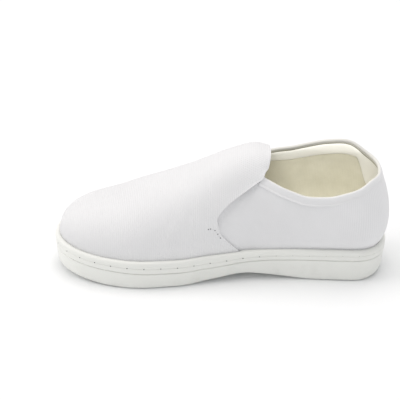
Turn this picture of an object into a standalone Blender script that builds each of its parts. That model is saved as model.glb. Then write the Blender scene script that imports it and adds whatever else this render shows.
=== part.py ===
# Slip-on work shoe for the right foot. +X points to the toe, +Y to the inner side of the foot, +Z up.
# Sizes and tables are in millimetres; meshes are made in metres.
import math

import bmesh
import bpy
import numpy as np

MM = 0.001
MERGE = 0.00001

SOLE_LENGTH = 285.0
GAP = 0.3
VAMP_GAP = 0.4
WALL = 1.8
VAMP_WALL = 1.5
BINDING_WALL = 0.8
INSOLE_WALL = 3.5
INSOLE_GAP = 0.75

# Outline of the sole
HEEL_RUN = 0.11
HEEL_POWER = 2.3
TOE_RUN = 0.27
TOE_POWER = 2.2

# Lip of the cup
LIP_WIDTH = 4.2
LIP_SINK = 0.8
LIP_FEATHER = LIP_WIDTH + 1.5 * GAP

# Toe of the upper, and the fan that turns its walls round the heel
TOE_BOX_RUN = 0.19
TOE_BOX_POWER = 2.6
FAN_STATION = 0.135
BULGE_FROM = 1.6
BULGE_TOP = 64.0
BULGE_POWER = 0.75
HEEL_TURN = 0.24
THROAT_TURN = 0.16

# Throat: where the collar meets the tongue, and the rear end of the tongue
UNDERLAP = (0.33, 0.43)
CORNER_FOOT = 0.47
CORNER_STATION = 0.379
TONGUE_STATION = 0.358
TONGUE_LEAN = 0.25
TONGUE_DROOP = 6.0
DROOP_FROM = 0.885
DROOP_POWER = 2.2
TONGUE_OVERHANG = 3.0
FLAP_LIFT = 1.2
FLAP_TURN = 0.10
FLAP_SHARES = (0.40, 0.60)
TONGUE_SHARES = (0.80, 1.0)

# Tread: grooves cut into the underside
GROOVE_DEPTH = 1.3
GROOVE_WIDTH = 1.5
GROOVE_OVERRUN = 1.0
WAVE = 1.4
BAND_INSET = (17.4, 26.0)
FIELD_GROOVE = 28.0
FIELD_INSET = 31.0
HEEL_INSET = 18.5
BAR_STATIONS = (0.53, 0.87, 11)
FIELD_STATIONS = (0.50, 0.855, 15)
HEEL_STATIONS = (0.10, 0.26, 7)
FIELD_REAR = 0.47
FIELD_WAVES = 3.0
HEEL_WAVES = 2.0
BAR_SEGMENTS = 1
FIELD_SEGMENTS = 9
HEEL_SEGMENTS = 6
RING_SEGMENTS = 40

# Mesh counts
AROUND = 72
INSOLE_AROUND = 48
INSOLE_ROWS = 2
VAMP_AROUND = 40
VAMP_SHARED = 12
BINDING_AROUND = 34
SAMPLES = 160
SAMPLE_POWER = 3
DENSE_COUNT = 801
WALL_ROWS = (-0.95, 0.0, 0.09, 0.20, 0.31, 0.42, 0.51, 0.62, 0.76, 0.90, 1.0)

# Short steps that give directions along the outline, round the wall, up the wall and along a groove
PLAN_STEP = 0.002
TURN_STEP = 0.004
SHARE_STEP = 0.01
PATH_STEP = 0.005

# Highest share that gives the vamp its outward direction, clear of the throat's corners
NORMAL_TOP = 0.86


def table(names, rows):
    columns = np.array(rows, dtype=float).T
    return dict(zip(names.split(), columns))


# Sole outline: middle line and half breadth at each station from heel to toe
OUTLINE = table("station axis half", (
    (0.00, -1.0, 35.0),
    (0.14, -1.8, 36.0),
    (0.28, -3.0, 36.4),
    (0.40, -3.6, 38.0),
    (0.52, -3.4, 44.6),
    (0.63, -1.2, 50.8),
    (0.72, 1.4, 52.0),
    (0.82, 3.8, 49.8),
    (1.00, 8.0, 45.0),
))

# Sole heights: underside, parting line, stitch groove, lip and floor of the cup
SOLE = table("station under line stitch lip floor", (
    (0.00, 3.6, 20.6, 25.6, 29.6, 17.0),
    (0.05, 1.0, 20.8, 25.8, 30.2, 17.0),
    (0.09, 0.0, 21.0, 26.0, 30.6, 17.0),
    (0.22, 0.0, 20.8, 25.3, 30.2, 16.5),
    (0.34, 3.4, 20.0, 24.2, 29.0, 16.0),
    (0.43, 5.8, 18.3, 22.7, 27.4, 15.0),
    (0.52, 2.8, 15.8, 20.9, 26.7, 13.5),
    (0.61, 0.0, 14.8, 20.3, 26.0, 12.0),
    (0.70, 0.0, 15.2, 20.7, 26.4, 11.5),
    (0.79, 0.0, 16.3, 21.7, 27.0, 11.5),
    (0.90, 2.2, 18.2, 23.6, 28.6, 13.0),
    (1.00, 5.6, 21.0, 26.4, 32.0, 16.0),
))

# Upper sections: height of the ridge over the ground, squareness across and up, outward swell of the wall
SECTIONS = table("station ridge across up swell", (
    (0.00, 120.0, 2.9, 2.7, 5.8),
    (0.06, 121.0, 2.9, 2.7, 5.8),
    (0.12, 139.0, 2.9, 2.7, 5.6),
    (0.22, 148.0, 2.9, 2.7, 5.0),
    (0.32, 124.0, 2.8, 2.6, 2.8),
    (0.37, 110.0, 2.6, 2.5, 2.0),
    (0.42, 107.0, 2.5, 2.4, 1.8),
    (0.48, 101.0, 2.4, 2.3, 1.6),
    (0.54, 92.4, 2.35, 2.2, 1.5),
    (0.60, 84.4, 2.3, 2.1, 1.4),
    (0.72, 72.0, 2.3, 2.0, 1.4),
    (0.84, 61.4, 2.3, 2.0, 1.6),
    (0.92, 60.0, 2.3, 2.0, 2.2),
    (1.00, 58.5, 2.3, 2.0, 3.4),
))

# Collar edge: height over the ground at each station, on the inner and the outer side
COLLAR = table("station inner outer", (
    (0.00, 92.6, 92.6),
    (0.04, 92.2, 96.0),
    (0.08, 89.0, 100.8),
    (0.14, 84.2, 104.2),
    (0.19, 80.8, 102.6),
    (0.245, 80.2, 98.6),
    (0.30, 83.8, 95.0),
    (0.379, 92.0, 93.2),
))

# Station of the collar edge over each station of the foot of the wall
LEAN = table("station edge", (
    (0.00, 0.00),
    (0.22, 0.22),
    (0.33, 0.305),
    (0.47, 0.379),
))

# Rear edge of the vamp: foot station of the edge at each height share, from sole to tongue
VAMP_EDGE = table("station foot", (
    (-1.00, 0.432),
    (0.00, 0.446),
    (0.07, 0.460),
    (0.13, 0.476),
    (0.24, 0.514),
    (0.34, 0.554),
    (0.40, 0.588),
    (0.45, 0.614),
    (0.50, 0.626),
    (0.56, 0.631),
    (0.61, 0.631),
    (0.66, 0.625),
    (0.72, 0.609),
    (0.79, 0.573),
    (0.86, 0.532),
    (0.92, 0.502),
    (0.97, 0.480),
    (1.00, CORNER_FOOT),
))

# Folds of the sole wall from the cup to the tread: inset from the outline, level and rise over that level
SOLE_FOLDS = (
    ("cup foot", 4.2, "floor", 0.0),
    ("lip inner", 4.2, "lip", -0.9),
    ("lip crown", 2.9, "lip", 0.0),
    ("lip shoulder", 1.1, "lip", -0.8),
    ("lip side", 0.2, "lip", -2.6),
    ("groove top", 0.2, "stitch", 0.9),
    ("groove floor", 1.2, "stitch", 0.0),
    ("groove foot", 0.4, "stitch", -0.9),
    ("line top", 0.7, "line", 0.7),
    ("line floor", 1.5, "line", 0.0),
    ("line foot", 0.6, "line", -0.7),
    ("wall foot", 1.9, "under", 2.8),
    ("edge", 2.6, "under", 0.8),
    ("tread edge", 3.8, "under", 0.0),
    ("rim", 14.0, "under", 0.0),
    ("ring outer", 14.3, "under", 1.4),
    ("ring inner", 15.7, "under", 1.4),
    ("field", 16.0, "under", 0.0),
)

# Folds of the collar binding: how far below the collar edge, outward from the wall's face and over the edge
BINDING_FOLDS = table("down out over", (
    (5.5, 1.3 * GAP, 0.0),
    (0.0, 1.2 * GAP, 0.4),
    (0.0, -WALL - 1.2 * GAP, 0.4),
    (6.5, -WALL - 1.8 * GAP, 0.0),
))


# Smooth line through one column of a table, kept between its rows
def follow(rows, name, at):
    xs = rows["station"]
    ys = rows[name]
    at = np.clip(np.asarray(at, dtype=float), xs[0], xs[-1])
    gaps = np.diff(xs)
    rates = np.diff(ys) / gaps
    slopes = np.zeros(len(xs))
    same = rates[:-1] * rates[1:] > 0.0
    weight = np.where(same, rates[:-1] + rates[1:], 1.0)
    slopes[1:-1] = np.where(same, 2.0 * rates[:-1] * rates[1:] / weight, 0.0)
    slopes[0] = rates[0]
    slopes[-1] = rates[-1]
    row = np.clip(np.searchsorted(xs, at, side="right") - 1, 0, len(gaps) - 1)
    width = gaps[row]
    q = (at - xs[row]) / width
    start = (1.0 + 2.0 * q) * (1.0 - q) ** 2 * ys[row]
    leave = q * (1.0 - q) ** 2 * width * slopes[row]
    end = q ** 2 * (3.0 - 2.0 * q) * ys[row + 1]
    arrive = q ** 2 * (q - 1.0) * width * slopes[row + 1]
    return start + leave + end + arrive


def ease(q):
    q = np.clip(q, 0.0, 1.0)
    return q * q * (3.0 - 2.0 * q)


def between(value, ends):
    return ease((value - ends[0]) / (ends[1] - ends[0]))


def rounded(q, power):
    return (1.0 - np.clip(q, 0.0, 1.0) ** power) ** (1.0 / power)


# The turn runs 0 to 2 round the shoe: heel, inner side, toe at 1, outer side, heel
def station_of(turn):
    return 0.5 - 0.5 * np.cos(math.pi * np.asarray(turn, dtype=float))


def side_of(turn):
    return np.where(np.mod(turn, 2.0) <= 1.0, 1.0, -1.0)


def plan(turn):
    station = station_of(turn)
    heel = rounded(1.0 - station / HEEL_RUN, HEEL_POWER)
    toe = rounded((station - 1.0 + TOE_RUN) / TOE_RUN, TOE_POWER)
    half = follow(OUTLINE, "half", station) * heel * toe
    x = (station - 0.5) * SOLE_LENGTH
    y = follow(OUTLINE, "axis", station) + side_of(turn) * half
    return np.stack((x, y), axis=-1)


def plan_normal(turn):
    along = plan(np.asarray(turn) + PLAN_STEP) - plan(np.asarray(turn) - PLAN_STEP)
    across = np.stack((-along[..., 1], along[..., 0]), axis=-1)
    return across / np.linalg.norm(across, axis=-1, keepdims=True)


def rim(turn, inset):
    return plan(turn) - np.asarray(inset)[..., None] * plan_normal(turn)


def axis_at(x):
    return follow(OUTLINE, "axis", x / SOLE_LENGTH + 0.5)


# Foot of the upper: inside the lip, and one vamp thickness further in where the vamp lies over it
def feather(turn):
    return rim(turn, LIP_FEATHER + between(station_of(turn), UNDERLAP) * (VAMP_GAP + VAMP_WALL))


def feather_height(x):
    return follow(SOLE, "lip", x / SOLE_LENGTH + 0.5) - LIP_SINK


DENSE = np.linspace(0.0, 1.0, DENSE_COUNT)
INNER_FOOT = feather(DENSE)
OUTER_FOOT = feather(2.0 - DENSE)
FOOT_HEEL = float(INNER_FOOT[0, 0])
FOOT_TOE = float(INNER_FOOT[-1, 0])
FAN_X = (FAN_STATION - 0.5) * SOLE_LENGTH


def half_at(x, side):
    inner = np.interp(x, INNER_FOOT[:, 0], INNER_FOOT[:, 1]) - axis_at(x)
    outer = axis_at(x) - np.interp(x, OUTER_FOOT[:, 0], OUTER_FOOT[:, 1])
    return np.maximum(np.where(side > 0.0, inner, outer), 0.01)


def ridge_at(x):
    station = x / SOLE_LENGTH + 0.5
    along = (x - FOOT_HEEL) / (FOOT_TOE - FOOT_HEEL)
    toe = rounded((along - 1.0 + TOE_BOX_RUN) / TOE_BOX_RUN, TOE_BOX_POWER)
    return np.maximum((follow(SECTIONS, "ridge", station) - feather_height(x)) * toe, 0.01)


def rise(x, share):
    station = x / SOLE_LENGTH + 0.5
    across = follow(SECTIONS, "across", station)
    up = follow(SECTIONS, "up", station)
    return ridge_at(x) * (1.0 - np.clip(share, 0.0, 1.0) ** across) ** (1.0 / up)


def share_for(x, height):
    station = x / SOLE_LENGTH + 0.5
    across = follow(SECTIONS, "across", station)
    up = follow(SECTIONS, "up", station)
    level = np.clip((height - feather_height(x)) / ridge_at(x), 0.0, 1.0)
    return (1.0 - level ** up) ** (1.0 / across)


CORNER_TURN = float(np.interp((CORNER_FOOT - 0.5) * SOLE_LENGTH, INNER_FOOT[:, 0], DENSE))


def bend_of(turn):
    around = np.mod(turn, 2.0)
    return np.where(around <= 1.0, around, 2.0 - around)


# Height of the collar edge: both sides come together at the back of the heel
def collar_height(x, side, bend):
    station = x / SOLE_LENGTH + 0.5
    inner = follow(COLLAR, "inner", station)
    outer = follow(COLLAR, "outer", station)
    return (inner + outer) / 2.0 + side * ease(bend / HEEL_TURN) * (inner - outer) / 2.0


# Rear end of the tongue across the throat, from the outer corner at -1 to the inner corner at 1
def tongue_shape(across):
    reach = np.where(across > TONGUE_LEAN, 1.0 - TONGUE_LEAN, 1.0 + TONGUE_LEAN)
    return np.cos((across - TONGUE_LEAN) / reach * math.pi / 2.0)


# Edge of the opening over each turn: the collar round the heel, then the throat across the instep
def opening(turn, foot, side):
    bend = bend_of(turn)
    edge = follow(LEAN, "edge", foot[:, 0] / SOLE_LENGTH + 0.5)
    x = np.where(foot[:, 0] < FAN_X, foot[:, 0], (edge - 0.5) * SOLE_LENGTH)
    share = share_for(x, collar_height(x, side, bend))
    heart = np.stack((np.full(len(x), FAN_X), axis_at(np.full(len(x), FAN_X))), axis=-1)
    fan = heart + (foot - heart) * share[:, None]
    straight = np.stack((x, axis_at(x) + side * half_at(x, side) * share), axis=-1)
    corner_x = np.full(len(x), (CORNER_STATION - 0.5) * SOLE_LENGTH)
    corner_share = share_for(corner_x, collar_height(corner_x, side, bend))
    over = np.clip((bend - CORNER_TURN) / (1.0 - CORNER_TURN), 0.0, 1.0)
    throat_x = corner_x + (TONGUE_STATION - CORNER_STATION) * SOLE_LENGTH * tongue_shape(side * (1.0 - over))
    spread = half_at(corner_x, side) * corner_share * (1.0 - over)
    throat = np.stack((throat_x, axis_at(throat_x) + side * spread), axis=-1)
    rear = np.where((foot[:, 0] < FAN_X)[:, None], fan, straight)
    return np.where((bend > CORNER_TURN)[:, None], throat, rear)


def throat_part(turn):
    return ease((bend_of(turn) - CORNER_TURN) / THROAT_TURN)


# Lines up the wall: from the foot to the opening, straight in plan, sampled closely
def lines(turn):
    turn = np.asarray(turn, dtype=float)
    side = side_of(turn)
    foot = feather(turn)
    edge = opening(turn, foot, side)
    q = np.linspace(0.0, 1.0, SAMPLES)[None, :, None] ** SAMPLE_POWER
    flat = foot[:, None, :] + (edge - foot)[:, None, :] * q
    x = flat[..., 0]
    sides = np.repeat(side[:, None], SAMPLES, axis=1)
    heart = np.array((FAN_X, float(axis_at(FAN_X))))
    reach = np.linalg.norm(flat - heart, axis=-1) / np.linalg.norm(foot - heart, axis=-1)[:, None]
    across = np.abs(flat[..., 1] - axis_at(x)) / half_at(x, sides)
    fan = np.repeat((foot[:, 0] < FAN_X)[:, None], SAMPLES, axis=1)
    share = np.clip(np.where(fan, reach, across), 0.0, 1.0)
    base = np.where(fan, np.repeat(foot[:, :1], SAMPLES, axis=1), x)
    rear = np.clip((q[..., 0] - DROOP_FROM) / (1.0 - DROOP_FROM), 0.0, 1.0)
    droop = throat_part(turn)[:, None] * rear ** DROOP_POWER
    height = rise(base, share) - TONGUE_DROOP * droop
    swell = follow(SECTIONS, "swell", foot[:, 0] / SOLE_LENGTH + 0.5)[:, None]
    lift = np.clip((height - BULGE_FROM) / (BULGE_TOP - BULGE_FROM), 0.0, 1.0) ** BULGE_POWER
    push = swell * 4.0 * lift * (1.0 - lift) * share ** 2
    out = flat + plan_normal(turn)[:, None, :] * push[..., None]
    return np.concatenate((out, (feather_height(base) + height)[..., None]), axis=-1)


def lengths(turn):
    steps = np.linalg.norm(np.diff(lines(turn), axis=1), axis=-1)
    return steps.sum(axis=1)


# Point of the outer wall at a turn and a share of its height; below 0 the wall goes down into the cup
def wall(turn, share):
    turn = np.asarray(turn, dtype=float)
    share = np.asarray(share, dtype=float)
    runs = lines(turn)
    steps = np.linalg.norm(np.diff(runs, axis=1), axis=-1)
    sums = np.concatenate((np.zeros((len(turn), 1)), np.cumsum(steps, axis=1)), axis=1)
    points = np.empty((len(turn), 3))
    foot = runs[:, 0]
    depth = foot[:, 2] - follow(SOLE, "floor", foot[:, 0] / SOLE_LENGTH + 0.5) - GAP
    for i in range(len(turn)):
        at = np.clip(share[i], 0.0, 2.0) * sums[i, -1]
        for axis in range(3):
            points[i, axis] = np.interp(at, sums[i], runs[i, :, axis])
        over = max(share[i] - 1.0, 0.0) * sums[i, -1]
        last = runs[i, -1] - runs[i, -2]
        points[i] += over * last / np.linalg.norm(last)
        points[i, 2] += min(share[i], 0.0) * depth[i]
    return points


def wall_normal(turn, share):
    turn = np.asarray(turn, dtype=float)
    share = np.asarray(share, dtype=float)
    along = wall(turn + TURN_STEP, share) - wall(turn - TURN_STEP, share)
    upward = wall(turn, share + SHARE_STEP) - wall(turn, share - SHARE_STEP)
    out = np.cross(upward, along)
    return out / np.linalg.norm(out, axis=-1, keepdims=True)


def wall_upward(turn, share):
    upward = wall(turn, share) - wall(turn, np.asarray(share) - 2.0 * SHARE_STEP)
    return upward / np.linalg.norm(upward, axis=-1, keepdims=True)


# Middle of the box that the shoe fills, so that the origin lies under it
def middle():
    sole = plan(np.linspace(0.0, 2.0, DENSE_COUNT))
    back = lines(np.array((0.0,)))[0, :, 0].min()
    low = min(sole[:, 0].min(), back)
    return np.array(((low + sole[:, 0].max()) / 2.0, (sole[:, 1].min() + sole[:, 1].max()) / 2.0, 0.0))


MIDDLE = middle()


def clear_scene():
    for thing in list(bpy.data.objects):
        bpy.data.objects.remove(thing, do_unlink=True)


def group(name):
    made = bpy.data.collections.new(name)
    bpy.context.scene.collection.children.link(made)
    return made


def finish(name, colour, roughness):
    made = bpy.data.materials.new(name)
    made.use_nodes = True
    shader = made.node_tree.nodes["Principled BSDF"]
    shader.inputs["Base Color"].default_value = colour
    shader.inputs["Roughness"].default_value = roughness
    return made


# A grid laid on a function of its two running numbers, each from 0 to 1
def laid_grid(name, columns, rows, place, home, material, closed=False):
    mesh = bmesh.new()
    bmesh.ops.create_grid(mesh, x_segments=columns, y_segments=rows, size=1.0)
    verts = list(mesh.verts)
    flat = np.array([vert.co[:2] for vert in verts])
    points = (place((flat[:, 0] + 1.0) / 2.0, (flat[:, 1] + 1.0) / 2.0) - MIDDLE) * MM
    for vert, point in zip(verts, points):
        vert.co = point
    bmesh.ops.remove_doubles(mesh, verts=mesh.verts, dist=MERGE)
    if closed:
        bmesh.ops.recalc_face_normals(mesh, faces=mesh.faces)
    data = bpy.data.meshes.new(name)
    mesh.to_mesh(data)
    mesh.free()
    data.materials.append(material)
    made = bpy.data.objects.new(name, data)
    home.objects.link(made)
    return made


def thicken(made, depth, outward):
    shell = made.modifiers.new("wall", "SOLIDIFY")
    shell.thickness = depth * MM
    shell.offset = 1.0 if outward else -1.0
    shell.use_even_offset = True
    shell.use_quality_normals = True
    return made


def pick(values, share):
    index = np.rint(share * (len(values) - 1)).astype(int)
    return np.array(values)[index]


def sole_place(u, v):
    turn = 2.0 * (1.0 - u)
    station = station_of(turn)
    count = len(SOLE_FOLDS) + 2
    level = np.rint(v * (count - 1)).astype(int)
    points = np.zeros((len(u), 3))
    for i, (_, inset, name, lift) in enumerate(SOLE_FOLDS):
        here = level == i + 1
        points[here, :2] = rim(turn[here], np.full(here.sum(), inset))
        points[here, 2] = follow(SOLE, name, points[here, 0] / SOLE_LENGTH + 0.5) + lift
    for end, fold in ((0, SOLE_FOLDS[0]), (count - 1, SOLE_FOLDS[-1])):
        here = level == end
        reach = SOLE_LENGTH - 2.0 * fold[1]
        points[here, 0] = (station[here] - 0.5) * reach
        points[here, 1] = axis_at(points[here, 0])
        points[here, 2] = follow(SOLE, fold[2], points[here, 0] / SOLE_LENGTH + 0.5) + fold[3]
    return points


def insole_place(u, v):
    turn = 2.0 * (1.0 - u)
    station = station_of(turn)
    inset = LIP_FEATHER + WALL + INSOLE_GAP + between(station, UNDERLAP) * (VAMP_GAP + VAMP_WALL)
    edge = rim(turn, inset)
    back, front = edge[:, 0].min(), edge[:, 0].max()
    heart_x = back + (front - back) * station
    heart = np.stack((heart_x, axis_at(heart_x)), axis=-1)
    flat = edge + (heart - edge) * v[:, None]
    height = follow(SOLE, "floor", flat[:, 0] / SOLE_LENGTH + 0.5) + GAP
    return np.concatenate((flat, height[:, None]), axis=-1)


def upper_place(u, v):
    turn = 2.0 * (1.0 - u)
    share = pick(WALL_ROWS, v)
    back = throat_part(turn) * TONGUE_OVERHANG / lengths(turn)
    return wall(turn, np.where(share > 0.0, share * (1.0 - back), share))


def vamp_place(u, v):
    share = pick(WALL_ROWS, v)
    inner = follow(VAMP_EDGE, "foot", share)
    start = np.interp((inner - 0.5) * SOLE_LENGTH, INNER_FOOT[:, 0], DENSE)
    stop = 2.0 - np.interp((inner - 0.5) * SOLE_LENGTH, OUTER_FOOT[:, 0], DENSE)
    step = np.rint((0.5 - u) * VAMP_AROUND)
    shared = 2.0 * VAMP_SHARED / AROUND
    rest = (np.abs(step) - VAMP_SHARED) / (VAMP_AROUND / 2.0 - VAMP_SHARED)
    far = np.where(step > 0.0, stop - 1.0, 1.0 - start)
    bend = np.where(rest > 0.0, shared + (far - shared) * rest, 2.0 * np.abs(step) / AROUND)
    turn = 1.0 + np.sign(step) * bend
    edge = 1.0 - np.clip(np.minimum(turn - start, stop - turn) / FLAP_TURN, 0.0, 1.0)
    free = np.maximum(edge * between(share, FLAP_SHARES), between(share, TONGUE_SHARES))
    outward = wall_normal(turn, np.minimum(share, NORMAL_TOP))
    return wall(turn, share) + outward * (VAMP_GAP + FLAP_LIFT * free)[:, None]


# The binding keeps to the upper's own columns, so that both bend at the same places
def binding_place(u, v):
    turn = np.mod((0.5 - u) * BINDING_AROUND * 2.0 / AROUND, 2.0)
    share = 1.0 - pick(BINDING_FOLDS["down"], v) / lengths(turn)
    outward = wall_normal(turn, share - 2.0 * SHARE_STEP) * pick(BINDING_FOLDS["out"], v)[:, None]
    return wall(turn, share) + outward + wall_upward(turn, share) * pick(BINDING_FOLDS["over"], v)[:, None]


def inset_line(x, inset, side):
    line = rim(DENSE if side > 0.0 else 2.0 - DENSE, np.full(len(DENSE), inset))
    return np.interp(x, line[:, 0], line[:, 1])


# One groove: a strip along a path in plan, laid above the underside so that its solid cuts the sole
def add_groove(mesh, path, segments):
    made = bmesh.ops.create_grid(mesh, x_segments=segments, y_segments=1, size=1.0)
    for vert in made["verts"]:
        along = (vert.co.x + 1.0) / 2.0
        side = vert.co.y * GROOVE_WIDTH / 2.0
        here = path(along)
        turn = path(along + PATH_STEP) - path(along - PATH_STEP)
        turn = turn / np.linalg.norm(turn)
        x = here[0] - turn[1] * side
        y = here[1] + turn[0] * side
        height = float(follow(SOLE, "under", x / SOLE_LENGTH + 0.5)) + GROOVE_DEPTH
        vert.co = (np.array((x, y, height)) - MIDDLE) * MM


def band_bar(x, side):
    near = inset_line(x, BAND_INSET[1], side)
    far = inset_line(x, BAND_INSET[0], side)

    def path(along):
        return np.array((x, near + (far - near) * along))

    return path


def wave_bar(x, inset, waves):
    near = inset_line(x, inset, -1.0)
    far = inset_line(x, inset, 1.0)

    def path(along):
        return np.array((x + WAVE * math.sin(2.0 * math.pi * waves * along), near + (far - near) * along))

    return path


def field_path(along):
    line = rim(DENSE, np.full(len(DENSE), FIELD_GROOVE))
    start = np.interp((FIELD_REAR - 0.5) * SOLE_LENGTH, line[:, 0], DENSE)
    turn = start + (2.0 - 2.0 * start) * along
    return rim(np.array((turn,)), np.array((FIELD_GROOVE,)))[0]


def tread_cutter(home, material):
    mesh = bmesh.new()
    for station in np.linspace(*BAR_STATIONS):
        x = (station - 0.5) * SOLE_LENGTH
        add_groove(mesh, band_bar(x, 1.0), BAR_SEGMENTS)
        add_groove(mesh, band_bar(x, -1.0), BAR_SEGMENTS)
    for station in np.linspace(*FIELD_STATIONS):
        add_groove(mesh, wave_bar((station - 0.5) * SOLE_LENGTH, FIELD_INSET, FIELD_WAVES), FIELD_SEGMENTS)
    for station in np.linspace(*HEEL_STATIONS):
        add_groove(mesh, wave_bar((station - 0.5) * SOLE_LENGTH, HEEL_INSET, HEEL_WAVES), HEEL_SEGMENTS)
    add_groove(mesh, field_path, RING_SEGMENTS)
    data = bpy.data.meshes.new("tread_cutter")
    mesh.to_mesh(data)
    mesh.free()
    data.materials.append(material)
    made = bpy.data.objects.new("tread_cutter", data)
    home.objects.link(made)
    made.hide_render = True
    made.display_type = "WIRE"
    return thicken(made, GROOVE_DEPTH + GROOVE_OVERRUN, False)


def cut(made, cutter):
    groove = made.modifiers.new("tread", "BOOLEAN")
    groove.operation = "DIFFERENCE"
    groove.solver = "EXACT"
    groove.object = cutter


clear_scene()
SHOE = group("slip_on_shoe")
CUTTERS = group("cutters")

SOLE_WHITE = finish("sole_white", (0.80, 0.80, 0.76, 1.0), 0.45)
INSOLE_BEIGE = finish("insole_beige", (0.60, 0.55, 0.40, 1.0), 0.9)
UPPER_WHITE = finish("upper_white", (0.84, 0.84, 0.84, 1.0), 0.6)
VAMP_WHITE = finish("vamp_white", (0.86, 0.86, 0.86, 1.0), 0.6)
BINDING_WHITE = finish("binding_white", (0.86, 0.86, 0.85, 1.0), 0.55)

OUTSOLE = laid_grid("outsole", AROUND, len(SOLE_FOLDS) + 1, sole_place, SHOE, SOLE_WHITE, closed=True)
cut(OUTSOLE, tread_cutter(CUTTERS, SOLE_WHITE))
INSOLE = laid_grid("insole", INSOLE_AROUND, INSOLE_ROWS, insole_place, SHOE, INSOLE_BEIGE)
thicken(INSOLE, INSOLE_WALL, True)
UPPER = laid_grid("upper", AROUND, len(WALL_ROWS) - 1, upper_place, SHOE, UPPER_WHITE)
thicken(UPPER, WALL, False)
VAMP = laid_grid("vamp", VAMP_AROUND, len(WALL_ROWS) - 1, vamp_place, SHOE, VAMP_WHITE)
thicken(VAMP, VAMP_WALL, True)
BINDING_ROWS = len(BINDING_FOLDS["down"]) - 1
BINDING = laid_grid("collar_binding", BINDING_AROUND, BINDING_ROWS, binding_place, SHOE, BINDING_WHITE)
thicken(BINDING, BINDING_WALL, True)
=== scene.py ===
import math

import bmesh
import bpy
import numpy as np
from mathutils import Matrix, Vector


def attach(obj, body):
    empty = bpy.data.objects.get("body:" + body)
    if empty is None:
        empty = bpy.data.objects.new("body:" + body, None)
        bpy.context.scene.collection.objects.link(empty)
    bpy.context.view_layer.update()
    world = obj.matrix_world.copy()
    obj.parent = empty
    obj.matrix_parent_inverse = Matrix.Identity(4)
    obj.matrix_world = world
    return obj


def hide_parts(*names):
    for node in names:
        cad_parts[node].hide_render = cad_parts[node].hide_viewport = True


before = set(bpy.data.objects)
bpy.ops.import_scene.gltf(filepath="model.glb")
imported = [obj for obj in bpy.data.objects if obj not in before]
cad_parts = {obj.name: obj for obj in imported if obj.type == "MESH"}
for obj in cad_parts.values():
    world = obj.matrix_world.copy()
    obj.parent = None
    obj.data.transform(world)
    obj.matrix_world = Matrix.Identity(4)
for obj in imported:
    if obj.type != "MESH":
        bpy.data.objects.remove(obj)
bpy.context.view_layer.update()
print("frame loaded with", len(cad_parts), "nodes")

mm = 0.001
mergeReach = 0.00001
shortest = 1e-9
foldAngle = 42.0

# the last and the cup, in millimetres; a station runs 0 at the heel to 1 at the toe
lastSizes = {
    "length": 285.0,
    "heelRun": 0.11,
    "heelPower": 2.3,
    "toeRun": 0.27,
    "toePower": 2.2,
    "lipFeather": 4.65,
    "lipSink": 0.8,
    "gap": 0.3,
    "vampGap": 0.4,
    "vampWall": 1.5,
    "wall": 1.8,
    "toeBoxRun": 0.19,
    "toeBoxPower": 2.6,
    "fanStation": 0.135,
    "bulgeFrom": 1.6,
    "bulgeTop": 64.0,
    "bulgePower": 0.75,
    "heelTurn": 0.24,
    "throatTurn": 0.16,
    "underlap": (0.33, 0.43),
    "cornerFoot": 0.47,
    "cornerStation": 0.379,
    "tongueStation": 0.358,
    "tongueLean": 0.25,
    "tongueDroop": 6.0,
    "droopFrom": 0.885,
    "droopPower": 2.2,
    "tongueOverhang": 3.0,
    "bindingHalf": 0.490,
    "planStep": 0.002,
    "smallest": 0.01,
}
netSizes = {"turns": 960, "shares": 240, "samples": 320, "samplePower": 3, "footCount": 801}


def table(names, rows):
    return dict(zip(names.split(), np.array(rows, dtype=float).T))


# sole outline: middle line and half breadth
outline = table("station axis half", (
    (0.00, -1.0, 35.0), (0.14, -1.8, 36.0), (0.28, -3.0, 36.4), (0.40, -3.6, 38.0), (0.52, -3.4, 44.6),
    (0.63, -1.2, 50.8), (0.72, 1.4, 52.0), (0.82, 3.8, 49.8), (1.00, 8.0, 45.0),
))
# sole heights: underside, parting line, stitch line, lip and floor of the cup
soleLevels = table("station under line stitch lip floor", (
    (0.00, 3.6, 20.6, 25.6, 29.6, 17.0), (0.05, 1.0, 20.8, 25.8, 30.2, 17.0),
    (0.09, 0.0, 21.0, 26.0, 30.6, 17.0), (0.22, 0.0, 20.8, 25.3, 30.2, 16.5),
    (0.34, 3.4, 20.0, 24.2, 29.0, 16.0), (0.43, 5.8, 18.3, 22.7, 27.4, 15.0),
    (0.52, 2.8, 15.8, 20.9, 26.7, 13.5), (0.61, 0.0, 14.8, 20.3, 26.0, 12.0),
    (0.70, 0.0, 15.2, 20.7, 26.4, 11.5), (0.79, 0.0, 16.3, 21.7, 27.0, 11.5),
    (0.90, 2.2, 18.2, 23.6, 28.6, 13.0), (1.00, 5.6, 21.0, 26.4, 32.0, 16.0),
))
# upper sections: ridge over the ground, squareness across and up, outward swell of the wall
sections = table("station ridge across up swell", (
    (0.00, 120.0, 2.9, 2.7, 5.8), (0.06, 121.0, 2.9, 2.7, 5.8), (0.12, 139.0, 2.9, 2.7, 5.6),
    (0.22, 148.0, 2.9, 2.7, 5.0), (0.32, 124.0, 2.8, 2.6, 2.8), (0.37, 110.0, 2.6, 2.5, 2.0),
    (0.42, 107.0, 2.5, 2.4, 1.8), (0.48, 101.0, 2.4, 2.3, 1.6), (0.54, 92.4, 2.35, 2.2, 1.5),
    (0.60, 84.4, 2.3, 2.1, 1.4), (0.72, 72.0, 2.3, 2.0, 1.4), (0.84, 61.4, 2.3, 2.0, 1.6),
    (0.92, 60.0, 2.3, 2.0, 2.2), (1.00, 58.5, 2.3, 2.0, 3.4),
))
# collar edge over the ground, inner and outer side
collarEdge = table("station inner outer", (
    (0.00, 92.6, 92.6), (0.04, 92.2, 96.0), (0.08, 89.0, 100.8), (0.14, 84.2, 104.2), (0.19, 80.8, 102.6),
    (0.245, 80.2, 98.6), (0.30, 83.8, 95.0), (0.379, 92.0, 93.2),
))
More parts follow.
